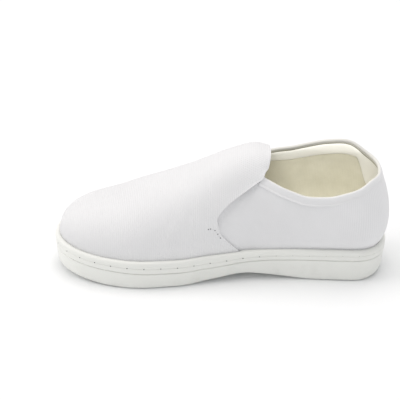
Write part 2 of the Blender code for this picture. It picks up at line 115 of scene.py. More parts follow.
# station of the collar edge over each station of the foot
collarLean = table("station edge", ((0.00, 0.00), (0.22, 0.22), (0.33, 0.305), (0.47, 0.379)))
# rear edge of the vamp: foot station at each share of its height, from sole to tongue
vampEdge = table("station foot", (
    (-1.00, 0.432), (0.00, 0.446), (0.07, 0.460), (0.13, 0.476), (0.24, 0.514), (0.34, 0.554),
    (0.40, 0.588), (0.45, 0.614), (0.50, 0.626), (0.56, 0.631), (0.61, 0.631), (0.66, 0.625),
    (0.72, 0.609), (0.79, 0.573), (0.86, 0.532), (0.92, 0.502), (0.97, 0.480), (1.00, 0.470),
))


# smooth line through one column of a table, kept between its rows
def follow(rows, name, at):
    xs, ys = rows["station"], rows[name]
    at = np.clip(np.asarray(at, dtype=float), xs[0], xs[-1])
    gaps = np.diff(xs)
    rates = np.diff(ys) / gaps
    slopes = np.zeros(len(xs))
    same = rates[:-1] * rates[1:] > 0.0
    weight = np.where(same, rates[:-1] + rates[1:], 1.0)
    slopes[1:-1] = np.where(same, 2.0 * rates[:-1] * rates[1:] / weight, 0.0)
    slopes[0], slopes[-1] = rates[0], rates[-1]
    row = np.clip(np.searchsorted(xs, at, side="right") - 1, 0, len(gaps) - 1)
    width = gaps[row]
    q = (at - xs[row]) / width
    start = (1.0 + 2.0 * q) * (1.0 - q) ** 2 * ys[row] + q * (1.0 - q) ** 2 * width * slopes[row]
    end = q ** 2 * (3.0 - 2.0 * q) * ys[row + 1] + q ** 2 * (q - 1.0) * width * slopes[row + 1]
    return start + end


def ease(q):
    q = np.clip(q, 0.0, 1.0)
    return q * q * (3.0 - 2.0 * q)


def between(value, ends):
    return ease((value - ends[0]) / (ends[1] - ends[0]))


def rounded(q, power):
    return (1.0 - np.clip(q, 0.0, 1.0) ** power) ** (1.0 / power)


def unit(rows):
    return rows / np.maximum(np.linalg.norm(rows, axis=-1, keepdims=True), shortest)


def stationAt(x):
    return x / lastSizes["length"] + 0.5


def xAt(station):
    return (station - 0.5) * lastSizes["length"]


# a turn runs 0 to 2 round the shoe: heel, inner side, toe at 1, outer side, heel
def stationOf(turn):
    return 0.5 - 0.5 * np.cos(math.pi * np.asarray(turn, dtype=float))


def sideOf(turn):
    return np.where(np.mod(turn, 2.0) <= 1.0, 1.0, -1.0)


def bendOf(turn):
    around = np.mod(turn, 2.0)
    return np.where(around <= 1.0, around, 2.0 - around)


def planAt(turn):
    station = stationOf(turn)
    heel = rounded(1.0 - station / lastSizes["heelRun"], lastSizes["heelPower"])
    run = lastSizes["toeRun"]
    toe = rounded((station - 1.0 + run) / run, lastSizes["toePower"])
    half = follow(outline, "half", station) * heel * toe
    return np.stack((xAt(station), follow(outline, "axis", station) + sideOf(turn) * half), axis=-1)


def planNormal(turn):
    turn, step = np.asarray(turn), lastSizes["planStep"]
    along = planAt(turn + step) - planAt(turn - step)
    return unit(np.stack((-along[..., 1], along[..., 0]), axis=-1))


def rimAt(turn, inset):
    return planAt(turn) - np.asarray(inset)[..., None] * planNormal(turn)


def axisAt(x):
    return follow(outline, "axis", stationAt(x))


# foot of the upper: inside the lip, and one vamp thickness further in where the vamp lies over it
def featherInset(turn):
    return lastSizes["lipFeather"] + between(stationOf(turn), lastSizes["underlap"]) * (
        lastSizes["vampGap"] + lastSizes["vampWall"])


def featherAt(turn):
    return rimAt(turn, featherInset(turn))


def featherHeight(x):
    return follow(soleLevels, "lip", stationAt(x)) - lastSizes["lipSink"]


footTurns = np.linspace(0.0, 1.0, netSizes["footCount"])
innerFoot = featherAt(footTurns)
outerFoot = featherAt(2.0 - footTurns)
footHeel, footToe = float(innerFoot[0, 0]), float(innerFoot[-1, 0])
fanX = xAt(lastSizes["fanStation"])


def turnAtFoot(station, side):
    line = innerFoot if side > 0.0 else outerFoot
    near = np.interp(xAt(np.asarray(station)), line[:, 0], footTurns)
    return near if side > 0.0 else 2.0 - near


cornerTurn = float(turnAtFoot(lastSizes["cornerFoot"], 1.0))


def halfAt(x, side):
    inner = np.interp(x, innerFoot[:, 0], innerFoot[:, 1]) - axisAt(x)
    outer = axisAt(x) - np.interp(x, outerFoot[:, 0], outerFoot[:, 1])
    return np.maximum(np.where(side > 0.0, inner, outer), lastSizes["smallest"])


def ridgeAt(x):
    along = (x - footHeel) / (footToe - footHeel)
    run = lastSizes["toeBoxRun"]
    toe = rounded((along - 1.0 + run) / run, lastSizes["toeBoxPower"])
    rise = follow(sections, "ridge", stationAt(x)) - featherHeight(x)
    return np.maximum(rise * toe, lastSizes["smallest"])


def riseAt(x, share):
    across = follow(sections, "across", stationAt(x))
    up = follow(sections, "up", stationAt(x))
    return ridgeAt(x) * (1.0 - np.clip(share, 0.0, 1.0) ** across) ** (1.0 / up)


def shareFor(x, height):
    across = follow(sections, "across", stationAt(x))
    up = follow(sections, "up", stationAt(x))
    level = np.clip((height - featherHeight(x)) / ridgeAt(x), 0.0, 1.0)
    return (1.0 - level ** up) ** (1.0 / across)


def collarHeight(x, side, bend):
    inner = follow(collarEdge, "inner", stationAt(x))
    outer = follow(collarEdge, "outer", stationAt(x))
    return (inner + outer) / 2.0 + side * ease(bend / lastSizes["heelTurn"]) * (inner - outer) / 2.0


# rear end of the tongue, from the outer corner at -1 to the inner corner at 1
def tongueShape(across):
    lean = lastSizes["tongueLean"]
    reach = np.where(across > lean, 1.0 - lean, 1.0 + lean)
    return np.cos((across - lean) / reach * math.pi / 2.0)


# edge of the opening: the collar round the heel, then the throat across the instep
def openingAt(turn, foot, side):
    bend = bendOf(turn)
    edge = follow(collarLean, "edge", stationAt(foot[:, 0]))
    x = np.where(foot[:, 0] < fanX, foot[:, 0], xAt(edge))
    share = shareFor(x, collarHeight(x, side, bend))
    heart = np.array((fanX, float(axisAt(fanX))))
    fan = heart + (foot - heart) * share[:, None]
    straight = np.stack((x, axisAt(x) + side * halfAt(x, side) * share), axis=-1)
    cornerX = np.full(len(x), xAt(lastSizes["cornerStation"]))
    cornerShare = shareFor(cornerX, collarHeight(cornerX, side, bend))
    over = np.clip((bend - cornerTurn) / (1.0 - cornerTurn), 0.0, 1.0)
    reach = (lastSizes["tongueStation"] - lastSizes["cornerStation"]) * lastSizes["length"]
    throatX = cornerX + reach * tongueShape(side * (1.0 - over))
    spread = halfAt(cornerX, side) * cornerShare * (1.0 - over)
    throat = np.stack((throatX, axisAt(throatX) + side * spread), axis=-1)
    rear = np.where((foot[:, 0] < fanX)[:, None], fan, straight)
    return np.where((bend > cornerTurn)[:, None], throat, rear)


def throatPart(turn):
    return ease((bendOf(turn) - cornerTurn) / lastSizes["throatTurn"])


# lines up the wall, from the foot to the opening, straight in plan
def wallLines(turn):
    count = netSizes["samples"]
    side = sideOf(turn)
    foot = featherAt(turn)
    edge = openingAt(turn, foot, side)
    q = np.linspace(0.0, 1.0, count)[None, :, None] ** netSizes["samplePower"]
    flat = foot[:, None, :] + (edge - foot)[:, None, :] * q
    x = flat[..., 0]
    heart = np.array((fanX, float(axisAt(fanX))))
    reach = np.linalg.norm(flat - heart, axis=-1) / np.linalg.norm(foot - heart, axis=-1)[:, None]
    across = np.abs(flat[..., 1] - axisAt(x)) / halfAt(x, np.repeat(side[:, None], count, axis=1))
    fan = np.repeat((foot[:, 0] < fanX)[:, None], count, axis=1)
    share = np.clip(np.where(fan, reach, across), 0.0, 1.0)
    base = np.where(fan, np.repeat(foot[:, :1], count, axis=1), x)
    rear = np.clip((q[..., 0] - lastSizes["droopFrom"]) / (1.0 - lastSizes["droopFrom"]), 0.0, 1.0)
    droop = throatPart(turn)[:, None] * rear ** lastSizes["droopPower"]
    height = riseAt(base, share) - lastSizes["tongueDroop"] * droop
    swell = follow(sections, "swell", stationAt(foot[:, 0]))[:, None]
    lift = (height - lastSizes["bulgeFrom"]) / (lastSizes["bulgeTop"] - lastSizes["bulgeFrom"])
    lift = np.clip(lift, 0.0, 1.0) ** lastSizes["bulgePower"]
    push = swell * 4.0 * lift * (1.0 - lift) * share ** 2
    out = flat + planNormal(turn)[:, None, :] * push[..., None]
    return np.concatenate((out, (featherHeight(base) + height)[..., None]), axis=-1)


# the wall as a close net of points with its outward and upward directions
def wallNet():
    turns = np.linspace(0.0, 2.0, netSizes["turns"] + 1)
    runs = wallLines(turns)
    steps = np.linalg.norm(np.diff(runs, axis=1), axis=-1)
    sums = np.concatenate((np.zeros((len(turns), 1)), np.cumsum(steps, axis=1)), axis=1)
    shares = np.linspace(0.0, 1.0, netSizes["shares"] + 1)
    points = np.empty((len(turns), len(shares), 3))
    for i in range(len(turns)):
        for axis in range(3):
            points[i, :, axis] = np.interp(shares * sums[i, -1], sums[i], runs[i, :, axis])
    around = np.empty_like(points)
    around[1:-1] = points[2:] - points[:-2]
    around[0] = points[1] - points[-2]
    around[-1] = around[0]
    upward = unit(np.gradient(points, axis=1))
    footRun = np.cumsum(np.linalg.norm(np.diff(points[:, 0], axis=0, prepend=points[:1, 0]), axis=-1))
    return {"turns": turns, "points": points, "upward": upward, "outward": unit(np.cross(upward, around)),
            "lengths": sums[:, -1], "footRun": footRun}


net = wallNet()


def netAt(values, turn, share):
    across = np.mod(turn, 2.0) / 2.0 * netSizes["turns"]
    along = np.clip(share, 0.0, 1.0) * netSizes["shares"]
    i = np.minimum(across.astype(int), netSizes["turns"] - 1)
    j = np.minimum(along.astype(int), netSizes["shares"] - 1)
    p = (across - i)[:, None]
    q = (along - j)[:, None]
    low = values[i, j] * (1.0 - p) + values[i + 1, j] * p
    high = values[i, j + 1] * (1.0 - p) + values[i + 1, j + 1] * p
    return low * (1.0 - q) + high * q


def runAt(name, turn):
    return np.interp(turn, net["turns"], net[name])


# a point of the wall, out from its face; below 0 the wall goes down into the cup
def wallAt(turn, share, out, normalTop=1.0):
    points = netAt(net["points"], turn, share)
    depth = points[:, 2] - follow(soleLevels, "floor", stationAt(points[:, 0])) - lastSizes["gap"]
    points[:, 2] += np.minimum(share, 0.0) * depth
    past = np.maximum(share - 1.0, 0.0) * runAt("lengths", turn)
    points += netAt(net["upward"], turn, share) * past[:, None]
    outward = unit(netAt(net["outward"], turn, np.minimum(share, normalTop)))
    return points + outward * np.asarray(out)[..., None]


# middle of the box that the shoe fills
def boxMiddle():
    sole = planAt(np.linspace(0.0, 2.0, netSizes["footCount"]))
    low = min(sole[:, 0].min(), wallLines(np.array((0.0,)))[0, :, 0].min())
    return np.array(((low + sole[:, 0].max()) / 2.0, (sole[:, 1].min() + sole[:, 1].max()) / 2.0, 0.0))


middle = boxMiddle()
print("last and cup worked out, middle at", np.round(middle, 2))


# a grid laid on a function that gives points and cloth coordinates, both in millimetres
def laidGrid(name, columns, rows, place, material, closed=False):
    mesh = bmesh.new()
    bmesh.ops.create_grid(mesh, x_segments=columns, y_segments=rows, size=1.0)
    mesh.verts.index_update()
    flat = np.array([vert.co[:2] for vert in mesh.verts])
    points, cloth = place((flat[:, 0] + 1.0) / 2.0, (flat[:, 1] + 1.0) / 2.0)
    layer = mesh.loops.layers.uv.new("cloth")
    for vert, point in zip(mesh.verts, (points - middle) * mm):
        vert.co = point
    for face in mesh.faces:
        face.smooth = True
        for loop in face.loops:
            loop[layer].uv = cloth[loop.vert.index]
    bmesh.ops.remove_doubles(mesh, verts=mesh.verts, dist=mergeReach)
    if closed:
        bmesh.ops.recalc_face_normals(mesh, faces=mesh.faces)
    return linked(name, mesh, material)


def linked(name, mesh, material):
    data = bpy.data.meshes.new(name)
    mesh.to_mesh(data)
    mesh.free()
    data.materials.append(material)
    made = bpy.data.objects.new(name, data)
    bpy.context.scene.collection.objects.link(made)
    return made


def thicken(piece, depth, outward):
    shell = piece.modifiers.new("wall", "SOLIDIFY")
    shell.thickness = depth * mm
    shell.offset = 1.0 if outward else -1.0
    shell.use_even_offset = True
    shell.use_quality_normals = True


def softEdges(piece, width, segments, angle):
    edge = piece.modifiers.new("softEdge", "BEVEL")
    edge.width = width * mm
    edge.segments = segments
    edge.limit_method = "ANGLE"
    edge.angle_limit = math.radians(angle)


def carve(piece, cutter):
    cut = piece.modifiers.new("carve", "BOOLEAN")
    cut.operation = "DIFFERENCE"
    cut.solver = "EXACT"
    cut.material_mode = "TRANSFER"
    cut.object = cutter


# triangles that lie back to back on the same corners are taken out
def dropTwins(data):
    mesh = bmesh.new()
    mesh.from_mesh(data)
    bmesh.ops.triangulate(mesh, faces=mesh.faces)
    corners = {}
    for face in mesh.faces:
        corners.setdefault(frozenset(vert.index for vert in face.verts), []).append(face)
    twins = [face for faces in corners.values() if len(faces) > 1 for face in faces]
    bmesh.ops.delete(mesh, geom=twins, context="FACES")
    mesh.to_mesh(data)
    mesh.free()


# the modifiers become part of the mesh, and folds sharper than the angle stay crisp
def settle(piece, angle=foldAngle, cutter=None, twins=False):
    bpy.context.view_layer.update()
    graph = bpy.context.evaluated_depsgraph_get()
    data = bpy.data.meshes.new_from_object(
        piece.evaluated_get(graph), preserve_all_data_layers=True, depsgraph=graph)
    piece.modifiers.clear()
    raw = piece.data
    piece.data = data
    bpy.data.meshes.remove(raw)
    data.name = piece.name
    if twins:
        dropTwins(data)
    data.shade_smooth()
    data.set_sharp_from_angle(angle=math.radians(angle))
    if cutter is not None:
        bpy.data.objects.remove(cutter, do_unlink=True)


def pick(values, share):
    return np.array(values)[np.rint(share * (len(values) - 1)).astype(int)]


# soft troughs and ridges in side view, as from x z, to x z, width and depth; they fade where the wall faces up
sideways = (0.1875, 0.8125)


def pressedIn(points, outward, rows):
    total = np.zeros(len(points))
    for fromX, fromZ, toX, toZ, width, depth in rows:
        start = np.array((fromX, fromZ))
        run = np.array((toX - fromX, toZ - fromZ))
        spot = points[:, (0, 2)] - start
        along = np.clip(spot @ run / (run @ run), 0.0, 1.0)
        far = np.linalg.norm(spot - along[:, None] * run, axis=-1)
        total += depth * np.exp(-(far / width) ** 2)
    return total * between(np.abs(outward[:, 1]), sideways)


# finishes: groups shared by the materials, each with one vector and some numbers in, and numbers out
def nodeGroup(name, vector, numbers, outputs):
    made = bpy.data.node_groups.new(name, "ShaderNodeTree")
    made.interface.new_socket(vector, in_out="INPUT", socket_type="NodeSocketVector")
    for title, value in numbers.items():
        socket = made.interface.new_socket(title, in_out="INPUT", socket_type="NodeSocketFloat")
        socket.default_value = value
    for title in outputs:
        made.interface.new_socket(title, in_out="OUTPUT", socket_type="NodeSocketFloat")
    return made, made.nodes.new("NodeGroupInput").outputs, made.nodes.new("NodeGroupOutput").inputs


def feed(tree, socket, value):
    if isinstance(value, bpy.types.NodeSocket):
        tree.links.new(value, socket)
    else:
        socket.default_value = value


def mathNode(tree, operation, *values):
    node = tree.nodes.new("ShaderNodeMath")
    node.operation = operation
    for socket, value in zip(node.inputs, values):
        feed(tree, socket, value)
    return node.outputs[0]


def weighted(tree, first, firstShare, second, secondShare):
    return mathNode(tree, "ADD", mathNode(tree, "MULTIPLY", first, firstShare),
                    mathNode(tree, "MULTIPLY", second, secondShare))


def noiseNode(tree, vector, scale, detail, roughness):
    node = tree.nodes.new("ShaderNodeTexNoise")
    for title, value in (("Vector", vector), ("Scale", scale), ("Detail", detail), ("Roughness", roughness)):
        feed(tree, node.inputs[title], value)
    return node.outputs["Fac"]


def spread(tree, value, low, high, fromLow=0.0, fromHigh=1.0, kind="LINEAR"):
    node = tree.nodes.new("ShaderNodeMapRange")
    node.interpolation_type = kind
    feed(tree, node.inputs["Value"], value)
    for title, end in (("From Min", fromLow), ("From Max", fromHigh), ("To Min", low), ("To Max", high)):
        feed(tree, node.inputs[title], end)
    return node.outputs["Result"]


def axesOf(tree, vector):
    parts = tree.nodes.new("ShaderNodeSeparateXYZ")
    tree.links.new(vector, parts.inputs[0])
    return parts.outputs


# woven cloth in the piece's own millimetres: ribs one way, threads over and under the other way; the Shade
# output is painted shade, darker in the thread valleys, mixed with random fuzz tone
weaveSizes = {
    "numbers": {"Rib Pitch": 1.6, "Thread Pitch": 0.8, "Unevenness": 0.35},
    "drift": (0.25, 2.0, 0.5), "fuzz": (1.3, 3.0, 0.5),
    "ribShare": 0.3, "threadShare": 0.2, "midHeight": 0.5, "valleyShadeShare": 0.6, "fuzzTone": 0.4,
}


def weaveGroup():
    tree, given, put = nodeGroup("wovenThreads", "Cloth", weaveSizes["numbers"], ("Height", "Shade"))
    parts = axesOf(tree, given["Cloth"])
    drift = noiseNode(tree, given["Cloth"], *weaveSizes["drift"])
    shift = mathNode(tree, "MULTIPLY", drift, given["Unevenness"])

    def turned(part, pitch):
        ways = mathNode(tree, "ADD", mathNode(tree, "DIVIDE", part, given[pitch]), shift)
        return mathNode(tree, "MULTIPLY", ways, 2.0 * math.pi)

    ribs, threads = turned(parts[0], "Rib Pitch"), turned(parts[1], "Thread Pitch")
    half = mathNode(tree, "MULTIPLY", ribs, 0.5)
    over = mathNode(tree, "MULTIPLY", mathNode(tree, "SINE", half), mathNode(tree, "SINE", threads))
    ribbed = mathNode(tree, "SINE", ribs)
    height = weighted(tree, ribbed, weaveSizes["ribShare"], over, weaveSizes["threadShare"])
    height = mathNode(tree, "ADD", height, weaveSizes["midHeight"])
    fuzz = noiseNode(tree, given["Cloth"], *weaveSizes["fuzz"])
    feed(tree, put["Height"], height)
    # painted shade: low thread valleys come out darker, mixed with random fuzz tone
    feed(tree, put["Shade"], weighted(tree, height, weaveSizes["valleyShadeShare"], fuzz, weaveSizes["fuzzTone"]))
    return tree


# fine grain and slow tone changes in the object's metres
grainSizes = {"numbers": {"Grain Scale": 900.0, "Tone Scale": 18.0}, "fine": (3.0, 0.6), "slow": (4.0, 0.6)}


def grainGroup():
    tree, given, put = nodeGroup("fineGrain", "Place", grainSizes["numbers"], ("Height", "Tone"))
    feed(tree, put["Height"], noiseNode(tree, given["Place"], given["Grain Scale"], *grainSizes["fine"]))
    feed(tree, put["Tone"], noiseNode(tree, given["Place"], given["Tone Scale"], *grainSizes["slow"]))
    return tree


# handling marks: faint smudges, thickest low down near the floor
smudgeSizes = {
    "numbers": {"Low": 0.0, "High": 0.03, "Amount": 0.5},
    "lowShare": 1.0, "highShare": 0.15, "cloud": (55.0, 5.0, 0.65), "cloudFrom": (0.48, 0.75),
}


def smudgeGroup():
    tree, given, put = nodeGroup("handlingMarks", "Place", smudgeSizes["numbers"], ("Mask",))
    band = spread(tree, axesOf(tree, given["Place"])[2], smudgeSizes["lowShare"], smudgeSizes["highShare"],
                  given["Low"], given["High"], "SMOOTHSTEP")
    cloud = noiseNode(tree, given["Place"], *smudgeSizes["cloud"])
    speck = spread(tree, cloud, 0.0, 1.0, *smudgeSizes["cloudFrom"], "SMOOTHSTEP")
    mask = mathNode(tree, "MULTIPLY", speck, band)
    feed(tree, put["Mask"], mathNode(tree, "MULTIPLY", mask, given["Amount"]))
    return tree


weaveNodes = weaveGroup()
grainNodes = grainGroup()
smudgeNodes = smudgeGroup()


def groupNode(tree, group, **values):
    node = tree.nodes.new("ShaderNodeGroup")
    node.node_tree = group
    for title, value in values.items():
        feed(tree, node.inputs[title.replace("_", " ")], value)
    return node.outputs


def mixColours(tree, mask, first, second):
    node = tree.nodes.new("ShaderNodeMix")
    node.data_type = "RGBA"
    mixed = [socket for socket in node.inputs if socket.type == "RGBA"]
    tree.links.new(mask, node.inputs[0])
    for socket, value in zip(mixed, (first, second)):
        feed(tree, socket, (*value, 1.0) if isinstance(value, tuple) else value)
    return next(socket for socket in node.outputs if socket.type == "RGBA")


# one finish: tone between two colours, with the weave's painted valley shade on woven looks, smudges, gloss
# that changes with the grain, and bump
finishSizes = {"toneEnds": (-0.4, 1.4), "glossSpread": 0.08, "smudgeRough": 0.25, "coatRough": 0.35}


def finish(name, look):
    made = bpy.data.materials.new(name)
    made.use_nodes = True
    tree = made.node_tree
    shader = tree.nodes["Principled BSDF"].inputs
    where = tree.nodes.new("ShaderNodeTexCoord")
    place, cloth = where.outputs["Object"], where.outputs["UV"]
    grain = groupNode(tree, grainNodes, Place=place, Grain_Scale=look["grain"], Tone_Scale=look["toneScale"])
    smudge = groupNode(
        tree, smudgeNodes, Place=place, Low=look["low"], High=look["high"], Amount=look["smudge"])
    tone = spread(tree, grain["Tone"], *finishSizes["toneEnds"])
    height = mathNode(tree, "MULTIPLY", grain["Height"], look["grainHeight"])
    if look["rib"] > 0.0:
        weave = groupNode(tree, weaveNodes, Cloth=cloth, Rib_Pitch=look["rib"], Thread_Pitch=look["thread"],
                          Unevenness=look["uneven"])
        height = mathNode(tree, "ADD", height, mathNode(tree, "MULTIPLY", weave["Height"], look["ribHeight"]))
        # the weave's painted valley shade, with its fuzz tone, goes into the colour tone
        tone = weighted(tree, tone, 1.0 - look["weaveShadeShare"], weave["Shade"], look["weaveShadeShare"])
    colour = mixColours(tree, tone, look["dark"], look["pale"])
    colour = mixColours(tree, smudge["Mask"], colour, look["dirt"])
    ends = (look["rough"] - finishSizes["glossSpread"], look["rough"] + finishSizes["glossSpread"])
    gloss = mathNode(tree, "ADD", spread(tree, grain["Tone"], *ends),
                     mathNode(tree, "MULTIPLY", smudge["Mask"], finishSizes["smudgeRough"]))
    bump = tree.nodes.new("ShaderNodeBump")
    bump.inputs["Distance"].default_value = look["bump"] * mm
    bump.inputs["Strength"].default_value = look["bumpStrength"]
    feed(tree, bump.inputs["Height"], height)
    for title, value in (
            ("Base Color", colour), ("Roughness", gloss), ("Normal", bump.outputs["Normal"]),
            ("Specular IOR Level", look["shine"]), ("Sheen Weight", look["sheen"]),
            ("Coat Weight", look["coat"]), ("Coat Roughness", finishSizes["coatRough"])):
        feed(tree, shader[title], value)
    return made


# looks: ribs, threads and bump in millimetres, smudge heights in metres, grain and tone as noise scales
# the weave share mixes the weave's painted valley shade into the colour
plainLook = {
    "pale": (0.83, 0.83, 0.84), "dark": (0.78, 0.78, 0.79), "dirt": (0.60, 0.58, 0.54),
    "grain": 900.0, "grainHeight": 0.5, "toneScale": 18.0, "low": 0.0, "high": 0.05, "smudge": 0.12,
    "rib": 0.0, "thread": 0.0, "uneven": 0.0, "ribHeight": 0.0, "weaveShadeShare": 0.0,
    "rough": 0.55, "bump": 0.12, "bumpStrength": 0.5, "shine": 0.4, "sheen": 0.0, "coat": 0.0,
}
upperLook = {
    **plainLook, "dark": (0.74, 0.74, 0.75), "rib": 1.7, "thread": 0.85, "uneven": 0.25,
    "ribHeight": 1.0, "weaveShadeShare": 0.35, "rough": 0.6, "bump": 0.14, "bumpStrength": 0.8,
}
vampLook = {
    **upperLook, "pale": (0.84, 0.84, 0.845), "dark": (0.75, 0.75, 0.76), "weaveShadeShare": 0.55, "bump": 0.30,
}
bindingLook = {**plainLook, "pale": (0.81, 0.81, 0.815), "dark": (0.76, 0.76, 0.77), "bump": 0.08}
facingLook = {
    **plainLook, "pale": (0.90, 0.885, 0.82), "dark": (0.84, 0.825, 0.755), "rib": 0.9, "thread": 0.9,
    "uneven": 0.2, "ribHeight": 0.7, "weaveShadeShare": 0.4, "rough": 0.8, "bump": 0.15, "sheen": 0.15, "smudge": 0.1,
}
rollLook = {**facingLook, "pale": (0.83, 0.82, 0.77), "dark": (0.77, 0.76, 0.71)}
# painted shadow: a dark strip for the shade in the gap between the collar roll and the facing
seamShadeLook = {**plainLook, "pale": (0.50, 0.49, 0.40), "dark": (0.42, 0.41, 0.33), "rough": 0.9}
liningLook = {
    **facingLook, "pale": (0.75, 0.72, 0.59), "dark": (0.57, 0.54, 0.41), "rib": 1.4, "thread": 1.4,
    "bump": 0.4, "toneScale": 60.0, "rough": 0.9, "sheen": 0.25,
}
insoleLook = {
    **liningLook, "pale": (0.71, 0.68, 0.56), "dark": (0.62, 0.59, 0.46), "rib": 1.8, "thread": 1.8,
}
soleLook = {
    **plainLook, "pale": (0.86, 0.865, 0.83), "dark": (0.825, 0.83, 0.79), "dirt": (0.50, 0.49, 0.44),
    "grain": 1500.0, "grainHeight": 0.3, "toneScale": 11.0, "high": 0.022, "smudge": 0.22,
    "rough": 0.42, "bump": 0.05, "coat": 0.12, "shine": 0.5,
}
# dark walls of the cut sole holes: painted shade in the recesses
holeShadeLook = {**soleLook, "pale": (0.42, 0.42, 0.40), "dark": (0.34, 0.34, 0.32), "rough": 0.8, "coat": 0.0}
# dark walls of the vamp needle holes: painted shade in the recesses
needleShadeLook = {**upperLook, "pale": (0.24, 0.24, 0.25), "dark": (0.18, 0.18, 0.19), "rough": 0.9}
threadLook = {
    **plainLook, "pale": (0.72, 0.72, 0.72), "dark": (0.62, 0.62, 0.63), "grain": 2600.0, "rough": 0.6,
    "bump": 0.1,
}
floorLook = {
    **plainLook, "pale": (0.93, 0.94, 0.945), "dark": (0.925, 0.935, 0.94), "smudge": 0.0, "grain": 300.0,
    "toneScale": 2.0, "rough": 0.8, "bump": 0.02, "shine": 0.2,
}

upperCloth = finish("upperCloth", upperLook)
vampCloth = finish("vampCloth", vampLook)
bindingStrip = finish("bindingStrip", bindingLook)
facingCream = finish("facingCream", facingLook)
seamShade = finish("seamShade", seamShadeLook)
rollCream = finish("rollCream", rollLook)
liningCanvas = finish("liningCanvas", liningLook)
insoleCanvas = finish("insoleCanvas", insoleLook)
soleMoulding = finish("soleMoulding", soleLook)
soleHoleShade = finish("soleHoleShade", holeShadeLook)
needleHoleShade = finish("needleHoleShade", needleShadeLook)
sewingThread = finish("sewingThread", threadLook)
floorPaper = finish("floorPaper", floorLook)
print("finishes made")


# every piece rides on the one body, and any solid that it takes the place of is hidden
def dress(piece, slotName, *nodes):
    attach(piece, "root")
    if nodes:
        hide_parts(*nodes)
    print(piece.name, len(piece.data.polygons), "faces")


# cup sole: folds from the cup to the tread as inset from the outline, level and rise over it
soleSizes = {
    "columns": 420, "foldAngle": 48.0,
    "folds": (
        (4.55, "floor", 0.0), (4.55, "lip", -0.7), (4.5, "lip", -0.35), (4.15, "lip", -0.14),
        (3.6, "lip", -0.03), (2.9, "lip", 0.0), (2.2, "lip", -0.12), (1.5, "lip", -0.45),
        (0.95, "lip", -0.95), (0.55, "lip", -1.7), (0.32, "lip", -2.6),
        (0.2, "stitch", 1.1), (0.24, "stitch", 0.6), (0.45, "stitch", 0.32), (0.72, "stitch", 0.1),
        (0.72, "stitch", -0.12), (0.52, "stitch", -0.35), (0.4, "stitch", -0.62), (0.4, "stitch", -1.2),
        (0.46, "line", 1.1), (0.5, "line", 0.6), (0.8, "line", 0.4), (1.7, "line", 0.22),
        (1.75, "line", -0.12), (1.1, "line", -0.34), (0.78, "line", -0.62), (0.76, "line", -1.2),
        (1.1, "line", -3.5), (1.75, "under", 3.4), (2.0, "under", 2.2), (2.3, "under", 1.2),
        (2.75, "under", 0.5), (3.3, "under", 0.12), (4.2, "under", 0.0), (14.0, "under", 0.0),
        (14.25, "under", 0.7), (14.6, "under", 1.35), (15.4, "under", 1.35), (15.75, "under", 0.7),
        (16.0, "under", 0.0),
    ),
    "lipFill": (2.9, 4.55), "fillStations": (0.431, 0.443),
    "dotPitch": 14.1, "dotFrom": 3.76, "dotInset": 0.6, "dotSizes": (0.28, 0.62), "dotStations": (0.30, 0.42),
    "dotSegments": (12, 8), "grooveDepth": 1.3, "grooveWidth": 1.5, "overrun": 1.0, "pathStep": 0.005,
    "bars": (0.53, 0.87, 11), "bandInset": (17.4, 26.0), "barSegments": 2,
    "field": {"stations": (0.50, 0.855, 19), "inset": 31.0, "waves": 3.0, "segments": 30},
    "heel": {"stations": (0.10, 0.26, 8), "inset": 18.5, "waves": 2.0, "segments": 24},
    "wave": 1.4, "fieldGroove": 28.0, "fieldRear": 0.47, "ringSegments": 110,
}


# behind the vamp the lip reaches in to the upper
def lipFill(turn, inset):
    share = np.clip((inset - soleSizes["lipFill"][0]) / np.ptp(soleSizes["lipFill"]), 0.0, 1.0)
    return (featherInset(turn) - lastSizes["lipFeather"]) * share * (
        1.0 - between(stationOf(turn), soleSizes["fillStations"]))


# rows of the grid are the folds, and the first and the last close on the middle line
def solePlace(u, v):
    turn = 2.0 * (1.0 - u)
    station = stationOf(turn)
    folds = soleSizes["folds"]
    level = np.rint(v * (len(folds) + 1)).astype(int)
    points = np.zeros((len(u), 3))
    for i, (inset, name, lift) in enumerate(folds):
        here = level == i + 1
        fill = lipFill(turn[here], inset) if name in ("floor", "lip") else 0.0
        points[here, :2] = rimAt(turn[here], np.full(here.sum(), inset) + fill)
        points[here, 2] = follow(soleLevels, name, stationAt(points[here, 0])) + lift
    for end, fold in ((0, folds[0]), (len(folds) + 1, folds[-1])):
        here = level == end
        points[here, 0] = (station[here] - 0.5) * (lastSizes["length"] - 2.0 * fold[0])
        points[here, 1] = axisAt(points[here, 0])
        points[here, 2] = follow(soleLevels, fold[1], stationAt(points[here, 0])) + fold[2]
    return points, points[:, :2]


def insetLine(x, inset, side):
    line = rimAt(footTurns if side > 0.0 else 2.0 - footTurns, np.full(len(footTurns), inset))
    return np.interp(x, line[:, 0], line[:, 1])


def addGroove(mesh, path, segments):
    made = bmesh.ops.create_grid(mesh, x_segments=segments, y_segments=1, size=1.0)
    for vert in made["verts"]:
        along = (vert.co.x + 1.0) / 2.0
        offset = vert.co.y * soleSizes["grooveWidth"] / 2.0
        here = path(along)
        run = unit(path(along + soleSizes["pathStep"]) - path(along - soleSizes["pathStep"]))
        x, y = here[0] - run[1] * offset, here[1] + run[0] * offset
        height = float(follow(soleLevels, "under", stationAt(x))) + soleSizes["grooveDepth"]
        vert.co = (np.array((x, y, height)) - middle) * mm


def bandBar(x, side):
    near, far = (insetLine(x, soleSizes["bandInset"][i], side) for i in (1, 0))
    return lambda along: np.array((x, near + (far - near) * along))


def waveBar(x, inset, waves):
    near, far = insetLine(x, inset, -1.0), insetLine(x, inset, 1.0)
    return lambda along: np.array((
        x + soleSizes["wave"] * math.sin(2.0 * math.pi * waves * along), near + (far - near) * along))


def fieldRing(along):
    inset = soleSizes["fieldGroove"]
    line = rimAt(footTurns, np.full(len(footTurns), inset))
    start = np.interp(xAt(soleSizes["fieldRear"]), line[:, 0], footTurns)
    return rimAt(np.array((start + (2.0 - 2.0 * start) * along,)), np.array((inset,)))[0]


